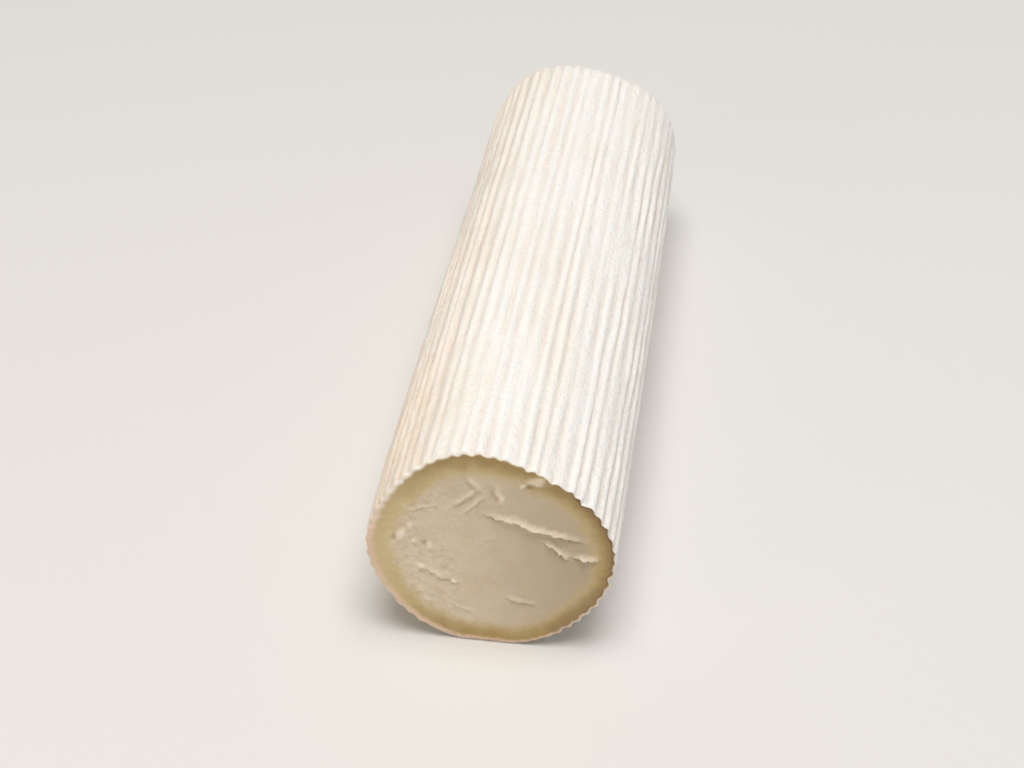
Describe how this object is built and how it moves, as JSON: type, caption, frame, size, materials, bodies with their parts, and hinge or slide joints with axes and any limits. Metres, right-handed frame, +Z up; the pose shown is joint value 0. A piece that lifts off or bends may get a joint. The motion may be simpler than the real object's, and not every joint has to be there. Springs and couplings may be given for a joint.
{
  "type": "goat cheese log",
  "caption": "Ripened goat cheese log with a ridged white rind, cut straight across at one end so that its creamline and pale paste show. It lies on a flat strip, ready to slice.",
  "frame": {"origin": "under the middle of the log, on the plane it rests on", "axes": "+Y along the log, from the cut end to the end that still has its rind; +Z up"},
  "size_m": [0.0707, 0.2408, 0.0677],
  "materials": {
    "cheese": "Food, not plastic: dry matt white bloomy rind with beige valleys between its ridges; at the cut a waxy beige-yellow creamline round a chalky ivory paste."
  },
  "bodies": {
    "root": {"cheese_log": "cheese"}
  },
  "joints": []
}
